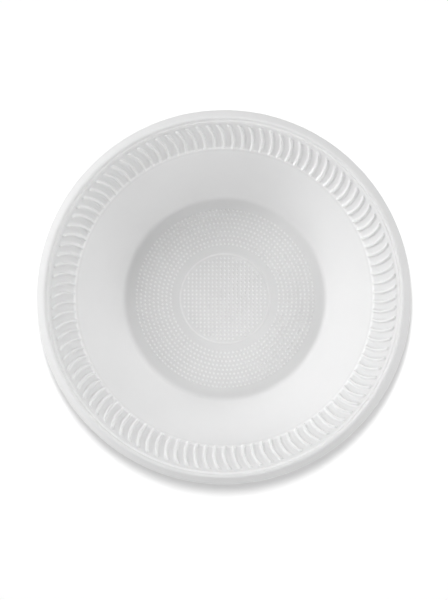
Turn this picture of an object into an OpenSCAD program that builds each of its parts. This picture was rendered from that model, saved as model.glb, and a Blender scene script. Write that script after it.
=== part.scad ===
// Round disposable bowl moulded in one piece from white foam.
// Origin at the centre of the underside, +Z up, millimetres.

/* [Overall] */
// Diameter across the turned-down edge
rim_d = 152; // [144:1:190]
// Height from the underside to the crest of the lip
height = 42; // [34:0.5:60]
// Thickness of the foam
wall = 2; // [1.2:0.1:2.6]

/* [Floor] */
// Diameter of the floor at its corner with the heel of the wall
floor_d = 83.6; // [64:0.2:92]
// Radius inside that corner
floor_r = 2.4; // [1.5:0.1:4.5]
// Rise of the heel, the steeper foot of the wall
heel_rise = 4; // [2:0.1:6]
// Width of the heel in plan
heel_w = 2.4; // [1:0.1:3]
// Diameter of the disc raised in the middle of the floor
disc_d = 35.7; // [20:0.1:56]
// Rise of that disc, and depth of the matching recess below it
disc_rise = 0.45; // [0.1:0.05:0.8]
// Width in plan of the step round the disc
disc_step_w = 0.35; // [0.2:0.05:1]

/* [Ring below the ribs] */
// Rise of the small steep ring between the wall and the ribbed band
ring_rise = 1; // [0.3:0.1:2]
// Width of that ring in plan
ring_w = 0.4; // [0.3:0.1:1.2]

/* [Ribbed band] */
// Width of the band in plan
band_w = 9.5; // [6:0.1:12]
// Rise of the band from the ring to the lip
band_rise = 8; // [5:0.1:12]
// Number of ribs round the band
rib_count = 102; // [48:1:112]
// Width of a rib at its foot
rib_w = 1.6; // [1:0.05:2.3]
// Width of the flat on top of a rib
rib_top_w = 0.6; // [0.3:0.05:0.95]
// Height of a rib above the band
rib_h = 0.85; // [0.2:0.05:0.9]
// Radius of the curve that each rib follows
rib_bend_r = 16.3; // [14:0.1:40]
// Distance in plan from the ring to the most forward point of a rib
rib_front = 2.4; // [1:0.1:4]
// Bare strip in plan between the ribs and the lip
rib_end_gap = 0.3; // [0.1:0.1:1.5]

/* [Lip] */
// Width in plan of the flat crest, up to its rounded shoulder's corner
crest_w = 0.85; // [0.6:0.05:3]
// Radius of the shoulder outside the crest
shoulder_r = 2.6; // [0.6:0.1:3.2]
// Slope of the outer face below the horizontal, in degrees
face_slope = 44; // [40:1:70]
// Thickness of the turned-down edge
edge_t = 1.6; // [1:0.1:2.2]
// Width in plan of each of the two small steps inside the crest
step_w = 0.65; // [0.3:0.05:1]
// Rise of each of those steps
step_rise = 0.9; // [0.3:0.05:1.2]
// Width of the land between the two steps
land_w = 0.7; // [0.1:0.05:0.8]
// Drop of the edge below the crest
lip_drop = 3.7; // [2.6:0.1:6]

/* [Hidden] */

// Softening of the small corners, and of the bend above the heel
soft_r = 0.4;
heel_soft_r = 6;
// Largest turn between two points of an arc, in degrees
arc_step = 11;
// Largest share of a side that one of its two fillets may take
fillet_share = 0.48;
// How far the foot of a rib reaches into the foam
rib_sink = 0.4;
// Sides of the turned form: two for each rib
revolve_fn = 2 * rib_count;

rim_r = rim_d / 2;
floor_z = wall;
floor_corner_r = floor_d / 2;
disc_r = disc_d / 2;

// Edge: a round of half its thickness, tangent to the rim and to its lowest level
edge_r = edge_t / 2;
edge_c = [rim_r - edge_r, height - lip_drop + edge_r];
face_n = [sin(face_slope), cos(face_slope)];
face_end = edge_c + edge_r * face_n;
face_len = (height - face_end.y) / sin(face_slope);
crest_out_r = face_end.x - face_len * cos(face_slope);

// Radii and levels from the lip inwards
crest_in_r = crest_out_r - crest_w;
land_out_r = crest_in_r - step_w;
land_in_r = land_out_r - land_w;
band_out_r = land_in_r - step_w;
band_in_r = band_out_r - band_w;
wall_top_r = band_in_r - ring_w;
land_z = height - step_rise;
band_out_z = land_z - step_rise;
band_in_z = band_out_z - band_rise;
wall_top_z = band_in_z - ring_rise;

heel_top = [floor_corner_r + heel_w, floor_z + heel_rise];
heel_slope = atan2(heel_rise, heel_w);
wall_slope = atan2(wall_top_z - heel_top.y, wall_top_r - heel_top.x);
band_slope = atan2(band_rise, band_w);

// Upper side from the middle outwards: radius, level and fillet of each corner
upper_line = [
    [0, floor_z + disc_rise, 0],
    [disc_r, floor_z + disc_rise, soft_r],
    [disc_r + disc_step_w, floor_z, soft_r],
    [floor_corner_r, floor_z, floor_r],
    with_fillet(heel_top, heel_soft_r),
    [wall_top_r, wall_top_z, soft_r],
    [band_in_r, band_in_z, soft_r],
    [band_out_r, band_out_z, soft_r],
    [land_in_r, land_z, soft_r],
    [land_out_r, land_z, soft_r],
    [crest_in_r, height, soft_r],
    [crest_out_r, height, shoulder_r],
    [face_end.x, face_end.y, 0],
];

// Underside: each long run lies one thickness below the upper side
heel_under = under_run(heel_top, heel_slope, wall);
wall_under = under_run(heel_top, wall_slope, wall);
band_under = under_run([band_in_r, band_in_z], band_slope, wall);
face_under = under_run(face_end, -face_slope, edge_t);
floor_under = [[0, 0], 0];
lower_line = [
    [0, disc_rise, 0],
    [disc_r, disc_rise, soft_r],
    [disc_r + disc_step_w, 0, soft_r],
    with_fillet(meet(floor_under, heel_under), floor_r + wall),
    with_fillet(meet(heel_under, wall_under), heel_soft_r),
    with_fillet(meet(wall_under, band_under), soft_r),
    with_fillet(meet(band_under, face_under), soft_r),
    with_fillet(edge_c - edge_r * face_n, 0),
];

// A run is a point on a line and the line's slope
function under_run(p, slope, t) = [p + t * [sin(slope), -cos(slope)], slope];
function meet(a, b) =
    let (da = [cos(a[1]), sin(a[1])], db = [cos(b[1]), sin(b[1])], gap = b[0] - a[0])
    a[0] + da * (gap.x * db.y - gap.y * db.x) / (da.x * db.y - da.y * db.x);
function with_fillet(p, r) = [p.x, p.y, r];
function flat(p) = [p.x, p.y];
function spin(v, a) = [v.x * cos(a) - v.y * sin(a), v.x * sin(a) + v.y * cos(a)];
function arc(c, start, turn) =
    let (n = max(1, ceil(abs(turn) / arc_step)))
    [for (i = [0:n]) c + spin(start, turn * i / n)];

// The points of one rounded corner b between a and c
function corner(a, b, c) =
    let (
        into = flat(b) - flat(a),
        away = flat(c) - flat(b),
        turn = atan2(into.x * away.y - into.y * away.x, into * away),
        reach = fillet_share * min(norm(into), norm(away)),
        r = min(b.z, reach / tan(abs(turn) / 2)),
        start = flat(b) - into / norm(into) * r * tan(abs(turn) / 2),
        centre = start + sign(turn) * r * spin(into / norm(into), 90)
    )
    arc(centre, start - centre, turn);
function rounded(line) = [
    flat(line[0]),
    for (i = [1:len(line) - 2]) each corner(line[i - 1], line[i], line[i + 1]),
    flat(line[len(line) - 1]),
];
function reversed(pts) = [for (i = [len(pts) - 1:-1:0]) pts[i]];

section = concat(
    rounded(upper_line),
    arc(edge_c, edge_r * face_n, -180),
    reversed(rounded(lower_line))
);

// A rib runs along an arc in a plane that lies on the slope of the band, in short straight pieces
rib_pieces = 4;
rib_front_r = band_in_r + rib_front;
rib_front_z = band_in_z + rib_front * tan(band_slope);
rib_in_turn = asin(rib_front / cos(band_slope) / rib_bend_r);
rib_out_turn = asin((band_w - rib_front - rib_end_gap) / cos(band_slope) / rib_bend_r);
rib_side_run = (rib_w - rib_top_w) / 2 / rib_h;
rib_root_w = rib_w + 2 * rib_side_run * rib_sink;
rib_profile = [
    [-rib_root_w / 2, -rib_sink],
    [-rib_top_w / 2, rib_h],
    [rib_top_w / 2, rib_h],
    [rib_root_w / 2, -rib_sink],
];
rib_points = [
    for (i = [0:rib_pieces], p = rib_profile)
        let (turn = i * (rib_in_turn + rib_out_turn) / rib_pieces - rib_in_turn)
        [(rib_bend_r + p.x) * sin(turn), -(rib_bend_r + p.x) * cos(turn), p.y],
];
rib_corners = len(rib_profile);
rib_faces = [
    [for (k = [0:rib_corners - 1]) k],
    for (i = [0:rib_pieces - 1], k = [0:rib_corners - 1])
        let (at = rib_corners * i, next = (k + 1) % rib_corners)
        [at + k, at + rib_corners + k, at + rib_corners + next, at + next],
    [for (k = [rib_corners - 1:-1:0]) rib_corners * rib_pieces + k],
];

module rib() {
    translate([0, rib_bend_r, 0])
        polyhedron(points = rib_points, faces = rib_faces);
}

// The ribs lie half a step to each side of +X
module ribs() {
    for (i = [0:rib_count - 1])
        rotate([0, 0, 360 * (i + 0.5) / rib_count])
            translate([rib_front_r, 0, rib_front_z])
                rotate([0, -band_slope, 0])
                    rib();
}

module bowl() {
    color("white")
        union() {
            rotate_extrude($fn = revolve_fn)
                polygon(section);
            ribs();
        }
}

bowl();
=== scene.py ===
from math import asin, atan2, ceil, cos, hypot, pi, radians, sin, sqrt, tan
import bpy
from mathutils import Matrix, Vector


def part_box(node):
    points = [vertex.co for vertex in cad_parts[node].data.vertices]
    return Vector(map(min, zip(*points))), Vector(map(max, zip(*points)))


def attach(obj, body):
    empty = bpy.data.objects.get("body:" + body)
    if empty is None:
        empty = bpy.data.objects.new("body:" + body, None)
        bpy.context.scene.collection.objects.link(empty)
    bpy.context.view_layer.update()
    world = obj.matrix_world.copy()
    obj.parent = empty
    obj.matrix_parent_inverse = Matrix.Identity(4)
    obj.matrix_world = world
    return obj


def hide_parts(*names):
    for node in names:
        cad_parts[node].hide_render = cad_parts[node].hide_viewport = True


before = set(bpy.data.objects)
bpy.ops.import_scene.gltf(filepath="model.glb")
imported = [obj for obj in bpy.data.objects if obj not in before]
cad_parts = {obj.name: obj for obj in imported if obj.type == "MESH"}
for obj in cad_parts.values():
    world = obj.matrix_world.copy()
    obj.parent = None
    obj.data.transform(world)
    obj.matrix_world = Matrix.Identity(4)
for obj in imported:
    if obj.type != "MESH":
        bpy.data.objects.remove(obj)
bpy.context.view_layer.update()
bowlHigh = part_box("bowl")[1]
rimRadius = bowlHigh[0]
bowlHeight = bowlHigh[2]
mm = 0.001
print("frame loaded: bowl", round(2 * rimRadius / mm, 1), "mm across,", round(bowlHeight / mm, 1), "mm high")


# Node trees

def place(tree, kind, links=None, **settings):
    # links gives each input by name or number: another node's socket, or a plain value
    node = tree.nodes.new(kind)
    for name, value in settings.items():
        setattr(node, name, value)
    for key, value in (links or {}).items():
        socket = node.inputs[key]
        for source in value if isinstance(value, list) else [value]:
            if isinstance(source, bpy.types.NodeSocket):
                tree.links.new(source, socket)
            else:
                socket.default_value = source
    return node


def calc(tree, operation, a, b=0.0, c=0.0):
    node = place(tree, "ShaderNodeMath", {0: a, 1: b, 2: c}, operation=operation)
    return node.outputs[0]


def newTree(name, kind, inputs, outputs):
    # inputs and outputs are lists of (name, socket type, value)
    tree = bpy.data.node_groups.new(name, kind)
    for label, socketType, value in inputs:
        socket = tree.interface.new_socket(label, in_out="INPUT", socket_type=socketType)
        if value is not None:
            socket.default_value = value
    for label, socketType, value in outputs:
        tree.interface.new_socket(label, in_out="OUTPUT", socket_type=socketType)
    return tree, tree.nodes.new("NodeGroupInput").outputs, tree.nodes.new("NodeGroupOutput").inputs


def bakeTree(name, mesh, tree, values):
    # runs a geometry tree on a mesh and keeps the result as a plain mesh object
    holder = bpy.data.objects.new(name + "Holder", mesh)
    bpy.context.scene.collection.objects.link(holder)
    modifier = holder.modifiers.new("build", "NODES")
    modifier.node_group = tree
    for item in tree.interface.items_tree:
        if item.in_out == "INPUT" and item.name in values:
            modifier[item.identifier] = values[item.name]
    bpy.context.view_layer.update()
    evaluated = holder.evaluated_get(bpy.context.evaluated_depsgraph_get())
    built = bpy.data.meshes.new_from_object(evaluated)
    bpy.data.objects.remove(holder)
    piece = bpy.data.objects.new(name, built)
    built.name = name
    bpy.context.scene.collection.objects.link(piece)
    return piece


# Foam finish

foamFinish = {
    "colour": (0.92, 0.92, 0.92, 1.0),
    "shadeColour": (0.91, 0.91, 0.912, 1.0),
    "paintedHighlightColour": (0.985, 0.985, 0.985, 1.0),   # painted highlight on rib crests, edge lines and the dots
    "paintedShadeColour": (0.84, 0.84, 0.84, 1.0),     # painted shade on the floor, in corners and between ribs
    "roughness": 0.5,
    "roughnessSpread": 0.08,
    "cellSize": 0.0011,        # metres across one foam cell under the skin
    "cellSoftness": 0.6,
    "cellShare": 0.7,          # of the cells in the skin's height, against the grain
    "mottleSize": 0.011,
    "mottleLow": 0.3, "mottleHigh": 0.7,   # where the mottle turns from the shade to the colour
    "cellDepth": 0.000012,
    "gloss": 0.25,
}

paintedLines = {                 # painted highlight (+) or painted shade (-) share, half width of line and core in mm
    # the floor entry spreads painted shade over the bowl's whole floor
    "floor": (-0.55, 42.0, 40.0),
    "discEdge": (1.1, 0.6, 0.1),
    "ringFoot": (-0.4, 0.6, 0.0),
    "ringTop": (1.0, 0.65, 0.1),
    "stepFoot": (-0.4, 0.6, 0.0),
    "land": (0.9, 0.6, 0.2),
}


def lineGroup():
    # a soft line round the axis, of painted highlight or painted shade
    tree, given, result = newTree(
        "paintedLightLine", "ShaderNodeTree",
        [("Radius", "NodeSocketFloat", 0.0), ("At", "NodeSocketFloat", 0.05),
         ("Half width", "NodeSocketFloat", 0.0005), ("Core", "NodeSocketFloat", 0.0),
         ("Share", "NodeSocketFloat", 1.0)],
        [("Amount", "NodeSocketFloat", None)])
    away = calc(tree, "ABSOLUTE", calc(tree, "SUBTRACT", given["Radius"], given["At"]))
    near = place(tree, "ShaderNodeMapRange", {
        "Value": away, "From Min": given["Half width"], "From Max": given["Core"]},
        interpolation_type="SMOOTHSTEP")
    tree.links.new(calc(tree, "MULTIPLY", near.outputs[0], given["Share"]), result["Amount"])
    return tree


def foamGroup():
    tree, given, result = newTree(
        "foamSkin", "ShaderNodeTree",
        [("Place", "NodeSocketVector", None), ("Colour", "NodeSocketColor", (0.9, 0.9, 0.9, 1)),
         ("Shade", "NodeSocketColor", (0.85, 0.85, 0.85, 1)), ("Cells per metre", "NodeSocketFloat", 900),
         ("Mottle per metre", "NodeSocketFloat", 90), ("Mottle low", "NodeSocketFloat", 0.3),
         ("Mottle high", "NodeSocketFloat", 0.7), ("Cell softness", "NodeSocketFloat", 0.6),
         ("Cell share", "NodeSocketFloat", 0.7), ("Roughness", "NodeSocketFloat", 0.5),
         ("Roughness spread", "NodeSocketFloat", 0.1), ("Painted highlight colour", "NodeSocketColor", (1, 1, 1, 1)),
         ("Painted shade colour", "NodeSocketColor", (0.8, 0.8, 0.8, 1)), ("Raised", "NodeSocketFloat", 0.0)],
        [("Colour", "NodeSocketColor", None), ("Roughness", "NodeSocketFloat", None),
         ("Height", "NodeSocketFloat", None)])
    cells = place(tree, "ShaderNodeTexVoronoi", {"Vector": given["Place"], "Scale": given["Cells per metre"]},
                  feature="SMOOTH_F1")
    tree.links.new(given["Cell softness"], cells.inputs["Smoothness"])
    grain = place(tree, "ShaderNodeTexNoise", {"Vector": given["Place"], "Scale": given["Cells per metre"],
                                               "Detail": 3.0, "Roughness": 0.55})
    mottle = place(tree, "ShaderNodeTexNoise", {"Vector": given["Place"], "Scale": given["Mottle per metre"],
                                                "Detail": 4.0, "Roughness": 0.6})
    sunk = calc(tree, "MULTIPLY", given["Cell share"], -1.0)
    height = calc(tree, "MULTIPLY_ADD", cells.outputs["Distance"], sunk, grain.outputs[0])
    blend = place(tree, "ShaderNodeMapRange", {
        "Value": mottle.outputs[0], "From Min": given["Mottle low"], "From Max": given["Mottle high"]})
    colour = place(tree, "ShaderNodeMix", {0: blend.outputs[0]}, data_type="RGBA")
    tree.links.new(given["Shade"], colour.inputs[6])
    tree.links.new(given["Colour"], colour.inputs[7])
    # Raised above 0 mixes in the painted highlight colour, below 0 the painted shade colour
    for side, amount in (("Painted highlight colour", given["Raised"]),
                         ("Painted shade colour", calc(tree, "MULTIPLY", given["Raised"], -1.0))):
        before = colour
        colour = place(tree, "ShaderNodeMix", {0: amount}, data_type="RGBA", clamp_factor=True)
        tree.links.new(before.outputs[2], colour.inputs[6])
        tree.links.new(given[side], colour.inputs[7])
    centred = calc(tree, "SUBTRACT", mottle.outputs[0], 0.5)
    rough = calc(tree, "MULTIPLY_ADD", centred, given["Roughness spread"], given["Roughness"])
    tree.links.new(colour.outputs[2], result["Colour"])
    tree.links.new(rough, result["Roughness"])
    tree.links.new(height, result["Height"])
    return tree


def paintedLightPattern(tree, where, lines):
    # painted highlight and shade lines round the axis, and the mesh's painted highlight on the ribs' crests
    # and painted shade in their valleys
    flat = place(tree, "ShaderNodeVectorMath", {0: where, 1: (1.0, 1.0, 0.0)}, operation="MULTIPLY")
    radius = place(tree, "ShaderNodeVectorMath", {0: flat.outputs[0]}, operation="LENGTH").outputs["Value"]
    # the mesh's raised attribute holds the painted crest highlight and valley shade
    total = place(tree, "ShaderNodeAttribute", attribute_name="raised").outputs["Fac"]
    oneLine = lineGroup()
    for name, at in lines.items():
        share, halfWidth, core = paintedLines[name]
        line = place(tree, "ShaderNodeGroup", node_tree=oneLine)
        tree.links.new(radius, line.inputs["Radius"])
        line.inputs["At"].default_value = at * mm
        line.inputs["Half width"].default_value = halfWidth * mm
        line.inputs["Core"].default_value = core * mm
        line.inputs["Share"].default_value = share
        total = calc(tree, "ADD", total, line.outputs[0])
    return total


def foamMaterial(name, group, finish, lines=None, depthShare=1.0):
    # without lines the whole piece takes the painted highlight colour
    material = bpy.data.materials.new(name)
    material.use_nodes = True
    tree = material.node_tree
    tree.nodes.clear()
    where = place(tree, "ShaderNodeTexCoord")
    skin = place(tree, "ShaderNodeGroup", node_tree=group)
    tree.links.new(where.outputs["Object"], skin.inputs["Place"])
    given = {
        "Colour": finish["colour"], "Shade": finish["shadeColour"],
        "Painted highlight colour": finish["paintedHighlightColour"], "Painted shade colour": finish["paintedShadeColour"],
        "Cells per metre": 1 / finish["cellSize"], "Cell softness": finish["cellSoftness"],
        "Cell share": finish["cellShare"], "Mottle per metre": 1 / finish["mottleSize"],
        "Mottle low": finish["mottleLow"], "Mottle high": finish["mottleHigh"],
        "Roughness": finish["roughness"], "Roughness spread": finish["roughnessSpread"]}
    for label, value in given.items():
        skin.inputs[label].default_value = value
    if lines:
        tree.links.new(paintedLightPattern(tree, where.outputs["Object"], lines), skin.inputs["Raised"])
    else:
        skin.inputs["Raised"].default_value = 1.0
    bump = place(tree, "ShaderNodeBump", {"Height": skin.outputs["Height"], "Strength": 1.0,
                                          "Distance": finish["cellDepth"] * depthShare})
    shader = place(tree, "ShaderNodeBsdfPrincipled", {
        "Base Color": skin.outputs["Colour"], "Roughness": skin.outputs["Roughness"],
        "Normal": bump.outputs["Normal"], "Specular IOR Level": finish["gloss"]})
    place(tree, "ShaderNodeOutputMaterial", {"Surface": shader.outputs[0]})
    return material


# Bowl: one moulding, built as one rib's share of the circle and turned round the axis

bowlForm = {                   # millimetres and degrees
    "wall": 2.0,
    "floorWidth": 83.6, "floorCorner": 2.4,
    "heelRise": 4.0, "heelWidth": 2.4, "heelSoft": 6.0,   # the steeper foot of the wall
    "discWidth": 36.1, "discRise": 0.5, "discStep": 0.7,
    "ringRise": 1.0, "ringWidth": 0.4,
    "bandWidth": 9.5, "bandRise": 8.0,
    "crestWidth": 0.85, "shoulder": 2.6, "faceSlope": 44.0, "edgeThickness": 1.6, "lipDrop": 3.7,
    "stepWidth": 0.65, "stepRise": 0.9, "landWidth": 0.7,
    "softCorner": 0.45, "arcStep": 9.0, "longestRun": 4.0,
    "filletShare": 0.48,       # of a side, at most, that one of its two fillets takes
    "ringFootIn": 0.6, "ringTopIn": 0.1, "stepFootIn": 0.2,   # how far inside its corner a painted shade or highlight line runs
    "weld": 0.002,             # points nearer than this become one
}

ribForm = {                    # millimetres
    "count": 102,
    "footHalf": 0.8, "topHalf": 0.3, "height": 0.85,
    "crestHighlightShare": 1.0, "crestHighlightHalf": 0.5,   # painted highlight on a rib's crest: how white it is, and how far that reaches
    "valleyShadeShare": 0.25,       # how much darker the painted shade makes the foam between two ribs
    "bendRadius": 16.3, "front": 2.4, "endGap": 0.35,
    "across": [0, 0.26, 0.38, 0.49, 0.6, 0.7, 0.8],   # columns from a rib's middle to its foot
    "valleyColumns": 2,
    "rowGap": 0.75,            # between rows along a rib
    "endRowGap": 0.16,         # and at its rounded end
    "firstRow": 0.5, "lastRow": 0.25,   # from the ring's corner, and to the lip's
    "endRound": 0.8,           # radius of the rounded end, as a share of footHalf
    "valleyShadeFade": 0.8,         # width over which the valleys' painted shade ends
    "fineReach": 0.25,         # how far the fine columns go on past the band
    "ringReach": 0.45,         # how far the ring's own rows go on past its corner
    "plainColumns": 3,         # columns of one rib's share away from the band
}


def meet(pointA, slopeA, pointB, slopeB):
    alongA = Vector((cos(slopeA), sin(slopeA)))
    alongB = Vector((cos(slopeB), sin(slopeB)))
    return pointA + alongA * ((pointB - pointA).cross(alongB) / alongA.cross(alongB))


def turned(vector, angle):
    along, across = cos(angle), sin(angle)
    return Vector((vector.x * along - vector.y * across, vector.x * across + vector.y * along))


def arc(centre, start, turn, step):
    count = max(1, ceil(abs(turn) / step))
    return [centre + turned(start, turn * i / count) for i in range(count + 1)]


def roundedLine(corners, step):
    # corners are (point, fillet radius)
    points = [corners[0][0]]
    for (before, _), (corner, radius), (after, _) in zip(corners, corners[1:], corners[2:]):
        into = corner - before
        away = after - corner
        turn = atan2(into.cross(away), into.dot(away))
        half = tan(abs(turn) / 2)
        radius = min(radius, bowlForm["filletShare"] * min(into.length, away.length) / half)
        start = corner - into.normalized() * radius * half
        side = turned(into.normalized(), pi / 2) * radius * (1 if turn > 0 else -1)
        points += arc(start + side, -side, turn, step)
    return points + [corners[-1][0]]


def filledLine(points, longest):
    # adds points on long straight runs
    filled = [points[0]]
    for before, after in zip(points, points[1:]):
        count = max(1, ceil((after - before).length / longest))
        filled += [before.lerp(after, (i + 1) / count) for i in range(count)]
    return filled


def bowlSection(form, rimR, height):
    wall = form["wall"]
    edgeR = form["edgeThickness"] / 2
    faceSlope = radians(form["faceSlope"])
    faceNormal = Vector((sin(faceSlope), cos(faceSlope)))
    edgeCentre = Vector((rimR - edgeR, height - form["lipDrop"] + edgeR))
    faceEnd = edgeCentre + faceNormal * edgeR
    crestOut = faceEnd.x - (height - faceEnd.y) / tan(faceSlope)
    crestIn = crestOut - form["crestWidth"]
    landOut = crestIn - form["stepWidth"]
    landIn = landOut - form["landWidth"]
    bandOut = Vector((landIn - form["stepWidth"], height - 2 * form["stepRise"]))
    bandIn = bandOut - Vector((form["bandWidth"], form["bandRise"]))
    wallTop = bandIn - Vector((form["ringWidth"], form["ringRise"]))
    floorCorner = Vector((form["floorWidth"] / 2, wall))
    discR = form["discWidth"] / 2
    soft = form["softCorner"]
    step = radians(form["arcStep"])
    heelTop = floorCorner + Vector((form["heelWidth"], form["heelRise"]))
    heelSlope = atan2(form["heelRise"], form["heelWidth"])
    wallSlope = atan2(wallTop.y - heelTop.y, wallTop.x - heelTop.x)
    bandSlope = atan2(form["bandRise"], form["bandWidth"])
    upper = roundedLine([
        (Vector((0, wall + form["discRise"])), 0),
        (Vector((discR, wall + form["discRise"])), soft),
        (Vector((discR + form["discStep"], wall)), soft),
        (floorCorner, form["floorCorner"]),
        (heelTop, form["heelSoft"]),
        (wallTop, soft),
        (bandIn, soft),
        (bandOut, soft),
        (Vector((landIn, height - form["stepRise"])), soft),
        (Vector((landOut, height - form["stepRise"])), soft),
        (Vector((crestIn, height)), soft),
        (Vector((crestOut, height)), form["shoulder"]),
        (faceEnd, 0)], step)
    edge = arc(edgeCentre, faceNormal * edgeR, -pi, step * 2)
    heelUnder = heelTop + Vector((sin(heelSlope), -cos(heelSlope))) * wall
    wallUnder = heelTop + Vector((sin(wallSlope), -cos(wallSlope))) * wall
    bandUnder = bandIn + Vector((sin(bandSlope), -cos(bandSlope))) * wall
    faceUnder = edgeCentre - faceNormal * edgeR
    under = roundedLine([
        (Vector((0, form["discRise"])), 0),
        (Vector((discR, form["discRise"])), soft),
        (Vector((discR + form["discStep"], 0)), soft),
        (meet(Vector((0, 0)), 0, heelUnder, heelSlope), form["floorCorner"] + wall),
        (meet(heelUnder, heelSlope, wallUnder, wallSlope), form["heelSoft"]),
        (meet(wallUnder, wallSlope, bandUnder, bandSlope), 2 * soft),
        (meet(bandUnder, bandSlope, faceUnder, -faceSlope), 2 * soft),
        (faceUnder, 0)], step)
    # where the painted highlight and shade lines run
    lines = {
        "floor": 0.0, "discEdge": discR + form["discStep"] / 2, "ringFoot": wallTop.x - form["ringFootIn"],
        "ringTop": bandIn.x - form["ringTopIn"], "stepFoot": bandOut.x - form["stepFootIn"],
        "land": (landIn + landOut) / 2}
    return {"upper": upper, "edge": edge, "under": under, "wallTop": wallTop, "bandIn": bandIn,
            "bandOut": bandOut, "bandSlope": bandSlope, "lines": lines}


def smooth(value):
    value = min(1, max(0, value))
    return value * value * (3 - 2 * value)


class ribBand:
    # where each column of a row lies, and how far a rib lifts it

    def __init__(self, section, rib):
        self.rib = rib
        self.slope = section["bandSlope"]
        self.frontR = section["bandIn"].x + rib["front"]
        self.wallTopR = section["wallTop"].x
        self.bandInR = section["bandIn"].x
        self.bandOutR = section["bandOut"].x
        self.endR = self.bandOutR - rib["endGap"]
        self.pitch = 2 * pi / rib["count"]
        half = rib["across"]
        self.columns = half[::-1] + [-u for u in half[1:]]

    def forward(self, radius):
        return (radius - self.frontR) / cos(self.slope)

    def columnAngle(self, radius, across):
        # the angle round the bowl of the curve that runs at this distance from the rib's middle
        held = min(self.endR, max(self.bandInR, radius))
        bend = self.rib["bendRadius"]
        x = self.forward(held)
        return (bend - sqrt((bend + across) ** 2 - x * x)) / held

    def fineAngles(self, radius):
        angles = [self.columnAngle(radius, across) for across in self.columns]
        count = self.rib["valleyColumns"] + 1
        last = angles[-1]
        gap = angles[0] + self.pitch - last
        return angles + [last + gap * i / count for i in range(1, count + 1)]

    def plainAngles(self, radius):
        start = self.columnAngle(radius, self.columns[0])
        count = self.rib["plainColumns"]
        return [start + self.pitch * i / count for i in range(count + 1)]

    def lift(self, radius, across):
        rib = self.rib
        x = self.forward(radius)
        bend = rib["bendRadius"]
        endTurn = asin((self.forward(self.endR) - rib["footHalf"] * rib["endRound"]) / bend)
        past = max(0, (asin(min(1, x / bend)) - endTurn) * bend)
        distance = hypot(across, past)
        share = smooth((rib["footHalf"] - distance) / (rib["footHalf"] - rib["topHalf"]))
        onRing = smooth((radius - self.wallTopR) / (self.bandInR - self.wallTopR))
        return rib["height"] * share * onRing

    def between(self, radius):
        # where the valleys' painted shade reaches: 1 on the band, falling to 0 at the ring and at the lip
        fade = self.rib["valleyShadeFade"]
        return smooth((radius - self.bandInR) / fade) * smooth((self.bandOutR - radius) / fade)


def bandRows(band, section):
    # rows between the ring's foot and the lip's foot, closer at the ribs' rounded ends
    inner = section["bandIn"]
    along = Vector((cos(band.slope), sin(band.slope)))
    rib = band.rib
    length = (section["bandOut"] - inner).length
    endZone = length - (rib["endGap"] + 2 * rib["footHalf"]) / cos(band.slope)
    first = rib["firstRow"]
    last = length - rib["lastRow"]
    count = ceil((endZone - first) / rib["rowGap"])
    marks = [first + (endZone - first) * i / count for i in range(count)]
    count = ceil((last - endZone) / rib["endRowGap"])
    marks += [endZone + (last - endZone) * i / count for i in range(count)]
    return [inner + along * mark for mark in marks]


def sectorMesh(name, form, rib, section):
    # one rib's share of the whole closed section
    band = ribBand(section, rib)
    upper = section["upper"]
    reach = rib["fineReach"]
    fineFrom = section["wallTop"].x - reach
    fineTo = section["bandOut"].x + reach
    inside = [p for p in upper if p.x < fineFrom]
    ring = [p for p in upper if fineFrom <= p.x < section["bandIn"].x + rib["ringReach"]]
    foot = [p for p in upper if section["bandOut"].x - reach <= p.x <= fineTo]
    outside = [p for p in upper if p.x > fineTo]
    line = filledLine(inside, form["longestRun"]) + ring + bandRows(band, section) + foot
    line += outside + section["edge"][1:] + filledLine(section["under"][::-1][1:], form["longestRun"])
    normal = Vector((-sin(band.slope), cos(band.slope)))
    points, rows, raised = [], [], []
    reachedEdge = False
    edgeFrom = rimRadius / mm - form["edgeThickness"] / 2
    for point in line:
        reachedEdge = reachedEdge or point.x > edgeFrom
        fine = fineFrom <= point.x <= fineTo and not reachedEdge
        angles = band.fineAngles(point.x) if fine else band.plainAngles(point.x)
        if point.x == 0:   # one point on the axis
            angles = [0]
        row = []
        for i, angle in enumerate(angles):
            across = band.columns[i] if fine and i < len(band.columns) else rib["footHalf"]
            if fine and i == len(angles) - 1:
                across = band.columns[0]
            lift = band.lift(point.x, across) if fine else 0
            lifted = point + normal * lift
            # painted highlight on the rib's crest, painted shade in the valley between ribs
            crestHighlight = smooth(1 - abs(across) / rib["crestHighlightHalf"]) * lift / rib["height"]
            valleyShade = band.between(point.x) * (1 - lift / rib["height"]) if fine else 0
            raised.append(rib["crestHighlightShare"] * crestHighlight - rib["valleyShadeShare"] * valleyShade)
            row.append(len(points))
            points.append((lifted.x * mm * cos(angle), lifted.x * mm * sin(angle), lifted.y * mm))
        rows.append((row, angles))
    faces = []
    for (rowA, anglesA), (rowB, anglesB) in zip(rows, rows[1:]):
        faces += bridge(rowA, anglesA, rowB, anglesB)
    mesh = bpy.data.meshes.new(name)
    mesh.from_pydata(points, [], faces)
    # the raised attribute carries the painted highlight (+) and painted shade (-)
    mesh.attributes.new("raised", "FLOAT", "POINT").data.foreach_set("value", raised)
    mesh.update()
    return mesh


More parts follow.
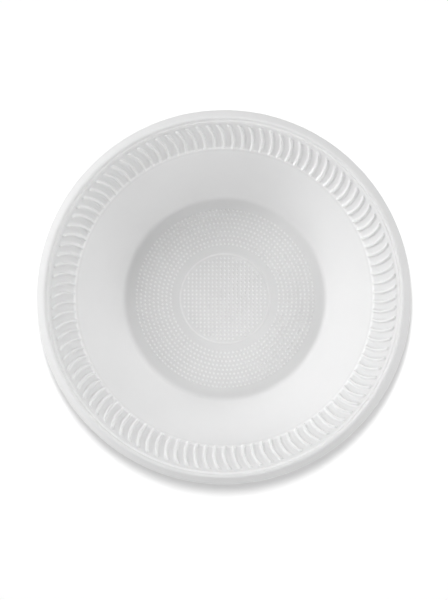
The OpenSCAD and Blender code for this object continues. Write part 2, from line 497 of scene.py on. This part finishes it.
def bridge(rowA, anglesA, rowB, anglesB):
    # faces between two rows, also where one has more columns
    if len(rowA) == 1:
        return [(rowA[0], rowB[j], rowB[j + 1]) for j in range(len(rowB) - 1)]
    if len(rowB) == 1:
        return [(rowA[i], rowB[0], rowA[i + 1]) for i in range(len(rowA) - 1)]
    faces = []
    if len(rowA) == len(rowB):
        for i in range(len(rowA) - 1):
            faces.append((rowA[i], rowB[i], rowB[i + 1], rowA[i + 1]))
        return faces
    i = j = 0
    while i < len(rowA) - 1 or j < len(rowB) - 1:
        nextA = anglesA[i + 1] if i < len(rowA) - 1 else 1e9
        nextB = anglesB[j + 1] if j < len(rowB) - 1 else 1e9
        if nextA < nextB:
            faces.append((rowA[i], rowB[j], rowA[i + 1]))
            i += 1
        else:
            faces.append((rowA[i], rowB[j], rowB[j + 1]))
            j += 1
    return faces


def turnTree():
    tree, given, result = newTree(
        "turnRound", "GeometryNodeTree",
        [("Share", "NodeSocketGeometry", None), ("Copies", "NodeSocketInt", 102),
         ("Weld", "NodeSocketFloat", 1e-6), ("Finish", "NodeSocketMaterial", None)],
        [("Geometry", "NodeSocketGeometry", None)])
    points = place(tree, "GeometryNodePoints", {"Count": given["Copies"]})
    index = place(tree, "GeometryNodeInputIndex")
    share = calc(tree, "DIVIDE", 2 * pi, given["Copies"])
    angle = calc(tree, "MULTIPLY", calc(tree, "ADD", index.outputs[0], 0.5), share)
    turn = place(tree, "ShaderNodeCombineXYZ", {"Z": angle})
    spin = place(tree, "FunctionNodeEulerToRotation", {0: turn.outputs[0]})
    copies = place(tree, "GeometryNodeInstanceOnPoints", {
        "Points": points.outputs[0], "Instance": given["Share"], "Rotation": spin.outputs[0]})
    real = place(tree, "GeometryNodeRealizeInstances", {0: copies.outputs[0]})
    weld = place(tree, "GeometryNodeMergeByDistance", {
        "Geometry": real.outputs[0], "Distance": given["Weld"]})
    shade = place(tree, "GeometryNodeSetShadeSmooth", {"Geometry": weld.outputs[0]})
    finish = place(tree, "GeometryNodeSetMaterial", {
        "Geometry": shade.outputs[0], "Material": given["Finish"]})
    tree.links.new(finish.outputs[0], result[0])
    return tree


# Raised dots on the floor of the bowl

dotForm = {                    # millimetres
    "radius": 0.48, "rise": 0.22, "sides": 9, "bands": 6,
    "rings": 9, "firstRing": 22.45, "ringGap": 1.755, "spacing": 1.68,
    "gridPitch": 1.66, "gridReach": 17.2,
    "skinShare": 0.4,          # of the foam's cell depth
}


def dotTree():
    tree, given, result = newTree(
        "raisedDots", "GeometryNodeTree",
        [("Holder", "NodeSocketGeometry", None), ("Dot radius", "NodeSocketFloat", 0.0005),
         ("Dot rise", "NodeSocketFloat", 0.0003), ("Sides", "NodeSocketInt", 9),
         ("Bands", "NodeSocketInt", 6), ("Rings", "NodeSocketInt", 9),
         ("First ring", "NodeSocketFloat", 0.02), ("Ring gap", "NodeSocketFloat", 0.002),
         ("Spacing", "NodeSocketFloat", 0.002),
         ("Grid pitch", "NodeSocketFloat", 0.002), ("Grid reach", "NodeSocketFloat", 0.017),
         ("Floor level", "NodeSocketFloat", 0.002), ("Disc level", "NodeSocketFloat", 0.0023),
         ("Finish", "NodeSocketMaterial", None)],
        [("Geometry", "NodeSocketGeometry", None)])
    # rings
    start = place(tree, "GeometryNodeRepeatInput")
    end = place(tree, "GeometryNodeRepeatOutput")
    start.pair_with_output(end)
    tree.links.new(given["Rings"], start.inputs["Iterations"])
    step = calc(tree, "MULTIPLY", start.outputs["Iteration"], given["Ring gap"])
    radius = calc(tree, "ADD", step, given["First ring"])
    around = calc(tree, "MULTIPLY", radius, 2 * pi)
    count = calc(tree, "ROUND", calc(tree, "DIVIDE", around, given["Spacing"]))
    circle = place(tree, "GeometryNodeMeshCircle", {"Vertices": count, "Radius": radius})
    joined = place(tree, "GeometryNodeJoinGeometry", {0: [start.outputs["Geometry"], circle.outputs[0]]})
    tree.links.new(joined.outputs[0], end.inputs["Geometry"])
    floorLift = place(tree, "ShaderNodeCombineXYZ", {"Z": given["Floor level"]})
    ringPoints = place(tree, "GeometryNodeSetPosition", {
        "Geometry": end.outputs[0], "Offset": floorLift.outputs[0]})
    # square grid on the disc
    steps = calc(tree, "CEIL", calc(tree, "DIVIDE", given["Grid reach"], given["Grid pitch"]))
    side = calc(tree, "MULTIPLY", calc(tree, "MULTIPLY", steps, 2.0), given["Grid pitch"])
    corners = calc(tree, "MULTIPLY_ADD", steps, 2.0, 1.0)
    grid = place(tree, "GeometryNodeMeshGrid", {"Size X": side, "Size Y": side, "Vertices X": corners,
                                                "Vertices Y": corners})
    here = place(tree, "GeometryNodeInputPosition")
    reach = place(tree, "ShaderNodeVectorMath", {0: here.outputs[0]}, operation="LENGTH")
    outside = place(tree, "FunctionNodeCompare", {0: reach.outputs["Value"], 1: given["Grid reach"]},
                    data_type="FLOAT", operation="GREATER_THAN")
    trimmed = place(tree, "GeometryNodeDeleteGeometry", {
        "Geometry": grid.outputs[0], "Selection": outside.outputs[0]}, domain="POINT")
    discLift = place(tree, "ShaderNodeCombineXYZ", {"Z": given["Disc level"]})
    gridPoints = place(tree, "GeometryNodeSetPosition", {"Geometry": trimmed.outputs[0],
                                                         "Offset": discLift.outputs[0]})
    places = place(tree, "GeometryNodeJoinGeometry", {0: [ringPoints.outputs[0], gridPoints.outputs[0]]})
    # one dot: a flattened ball whose lower half is in the foam
    dot = place(tree, "GeometryNodeMeshUVSphere", {
        "Segments": given["Sides"], "Rings": given["Bands"], "Radius": given["Dot radius"]})
    flat = place(tree, "ShaderNodeCombineXYZ", {
        "X": 1.0, "Y": 1.0, "Z": calc(tree, "DIVIDE", given["Dot rise"], given["Dot radius"])})
    seated = place(tree, "GeometryNodeTransform", {"Geometry": dot.outputs[0], "Scale": flat.outputs[0]})
    copies = place(tree, "GeometryNodeInstanceOnPoints", {
        "Points": places.outputs[0], "Instance": seated.outputs[0]})
    real = place(tree, "GeometryNodeRealizeInstances", {0: copies.outputs[0]})
    shade = place(tree, "GeometryNodeSetShadeSmooth", {"Geometry": real.outputs[0]})
    finish = place(tree, "GeometryNodeSetMaterial", {
        "Geometry": shade.outputs[0], "Material": given["Finish"]})
    tree.links.new(finish.outputs[0], result[0])
    return tree


# Room: floor, light and camera

roomForm = {
    "floorSize": 4.0, "floorColour": (0.93, 0.93, 0.93, 1.0), "floorGlow": 0.42,
    "floorDrop": 0.0001,       # keeps the floor's face apart from the bowl's
    "worldLight": 0.0,
}

lampForm = {
    "bowl": {                  # clock angle and height in degrees, power in watts
        "leftHigh": (240, 42, 2.6), "backHigh": (330, 42, 2.78), "rightHigh": (120, 42, 3.12),
        "leftLow": (300, 26, 3.59), "rightLow": (90, 26, 1.27), "backLow": (30, 26, 2.57),
        "sideLow": (240, 26, 1.25), "frontLow": (240, 10, 1.71), "cornerLow": (120, 10, 2.01),
    },
    "floor": {                 # these only cast the bowl's shadow on the floor
        "shadowNear": (0, 86.1, 30.6), "shadowWide": (0, 81.2, 6.1),
    },
    "shape": {                 # distance from the bowl, width and length in metres
        "usual": (1.1, 0.4, 0.4), "shadowNear": (2.4, 0.09, 0.32), "shadowWide": (2.4, 0.74, 0.37),
    },
}

cameraForm = {
    "pictureWide": 448, "pictureTall": 600,
    "rimAcross": 375.0,        # pixels that the rim spans
    "rimX": 223.8, "rimY": 296.9,
    "leanX": 0.7, "leanY": -0.93,   # degrees off straight down
    "far": 2.4, "sensor": 36.0, "seesTo": 20.0,
}


def clockDirection(clock, up):
    flat = cos(radians(up))
    return Vector((sin(radians(clock)) * flat, cos(radians(clock)) * flat, sin(radians(up))))


def pointAt(thing, target):
    thing.rotation_euler = (target - thing.location).to_track_quat("-Z", "Y").to_euler()


def makeLamps(form, label, lit, centre):
    # lit are the pieces that this group of lamps lights; the bowl always casts its shadow
    group = bpy.data.collections.new(label + "Lit")
    for thing in lit:
        group.objects.link(thing)
    for name, (clock, up, power) in form[label].items():
        far, wide, long = form["shape"].get(name, form["shape"]["usual"])
        data = bpy.data.lights.new(name, "AREA")
        data.shape = "ELLIPSE"
        data.size = wide
        data.size_y = long
        data.energy = power
        thing = bpy.data.objects.new(name, data)
        bpy.context.scene.collection.objects.link(thing)
        thing.location = centre + clockDirection(clock, up) * far
        pointAt(thing, centre)
        thing.light_linking.receiver_collection = group


def seenShare(tree):
    # 1 for what the camera sees, straight on or in a gloss or through glass
    path = place(tree, "ShaderNodeLightPath")
    either = calc(tree, "MAXIMUM", path.outputs["Is Camera Ray"], path.outputs["Is Glossy Ray"])
    return calc(tree, "MAXIMUM", either, path.outputs["Is Transmission Ray"])


def makeFloor(form):
    half = form["floorSize"] / 2
    mesh = bpy.data.meshes.new("floor")
    low = -form["floorDrop"]
    corners = [(-half, -half, low), (half, -half, low), (half, half, low), (-half, half, low)]
    mesh.from_pydata(corners, [], [(0, 1, 2, 3)])
    floor = bpy.data.objects.new("floor", mesh)
    bpy.context.scene.collection.objects.link(floor)
    material = bpy.data.materials.new("whiteSweep")
    material.use_nodes = True
    tree = material.node_tree
    tree.nodes.clear()
    matt = place(tree, "ShaderNodeBsdfDiffuse", {"Color": form["floorColour"]})
    share = calc(tree, "MULTIPLY", seenShare(tree), form["floorGlow"])
    glow = place(tree, "ShaderNodeEmission", {"Strength": share})
    both = place(tree, "ShaderNodeAddShader", {0: matt.outputs[0], 1: glow.outputs[0]})
    place(tree, "ShaderNodeOutputMaterial", {"Surface": both.outputs[0]})
    mesh.materials.append(material)
    return floor


def makeWorld(form):
    world = bpy.data.worlds.new("studio")
    bpy.context.scene.world = world
    world.use_nodes = True
    tree = world.node_tree
    tree.nodes.clear()
    seen = seenShare(tree)
    strength = calc(tree, "MULTIPLY_ADD", seen, 1.0 - form["worldLight"], form["worldLight"])
    light = place(tree, "ShaderNodeBackground", {"Color": (1, 1, 1, 1), "Strength": strength})
    place(tree, "ShaderNodeOutputWorld", {"Surface": light.outputs[0]})


def makeCamera(form):
    data = bpy.data.cameras.new("camera")
    camera = bpy.data.objects.new("camera", data)
    bpy.context.scene.collection.objects.link(camera)
    bpy.context.scene.camera = camera
    rim = Vector((0, 0, bowlHeight))
    metresPerPixel = 2 * rimRadius / form["rimAcross"]
    data.sensor_fit = "VERTICAL"
    data.sensor_height = form["sensor"]
    data.lens = form["sensor"] * form["far"] / (metresPerPixel * form["pictureTall"])
    data.clip_end = form["seesTo"]
    lean = Vector((tan(radians(form["leanX"])), tan(radians(form["leanY"])), 1)).normalized()
    camera.location = rim + lean * form["far"]
    camera.rotation_euler = (radians(-form["leanY"]), radians(form["leanX"]), 0)
    data.shift_x = (form["pictureWide"] / 2 - form["rimX"]) / form["pictureTall"]
    data.shift_y = (form["rimY"] - form["pictureTall"] / 2) / form["pictureTall"]


# Making

section = bowlSection(bowlForm, rimRadius / mm, bowlHeight / mm)
skinGroup = foamGroup()
foam = foamMaterial("whiteFoam", skinGroup, foamFinish, lines=section["lines"])
# the dots take the painted highlight colour all over
dotFoam = foamMaterial("whiteFoamDots", skinGroup, foamFinish, depthShare=dotForm["skinShare"])
print("foam materials made")

share = sectorMesh("bowlShare", bowlForm, ribForm, section)
bowl = bakeTree("bowlMoulding", share, turnTree(), {
    "Copies": ribForm["count"], "Weld": bowlForm["weld"] * mm, "Finish": foam})
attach(bowl, "root")
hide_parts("bowl")
print("bowl moulded:", len(bowl.data.polygons), "faces")

dots = bakeTree("floorDots", bpy.data.meshes.new("dotSeed"), dotTree(), {
    "Dot radius": dotForm["radius"] * mm, "Dot rise": dotForm["rise"] * mm,
    "Sides": dotForm["sides"], "Bands": dotForm["bands"],
    "Rings": dotForm["rings"], "First ring": dotForm["firstRing"] * mm,
    "Ring gap": dotForm["ringGap"] * mm, "Spacing": dotForm["spacing"] * mm,
    "Grid pitch": dotForm["gridPitch"] * mm, "Grid reach": dotForm["gridReach"] * mm,
    "Floor level": bowlForm["wall"] * mm, "Disc level": (bowlForm["wall"] + bowlForm["discRise"]) * mm,
    "Finish": dotFoam})
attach(dots, "root")
print("dots raised:", len(dots.data.polygons), "faces")

floor = makeFloor(roomForm)
makeWorld(roomForm)
middle = Vector((0, 0, bowlHeight / 2))
makeLamps(lampForm, "bowl", [bowl, dots], middle)
makeLamps(lampForm, "floor", [floor], middle)
makeCamera(cameraForm)
bpy.context.scene.view_settings.view_transform = "Standard"
print("room lit, camera set")
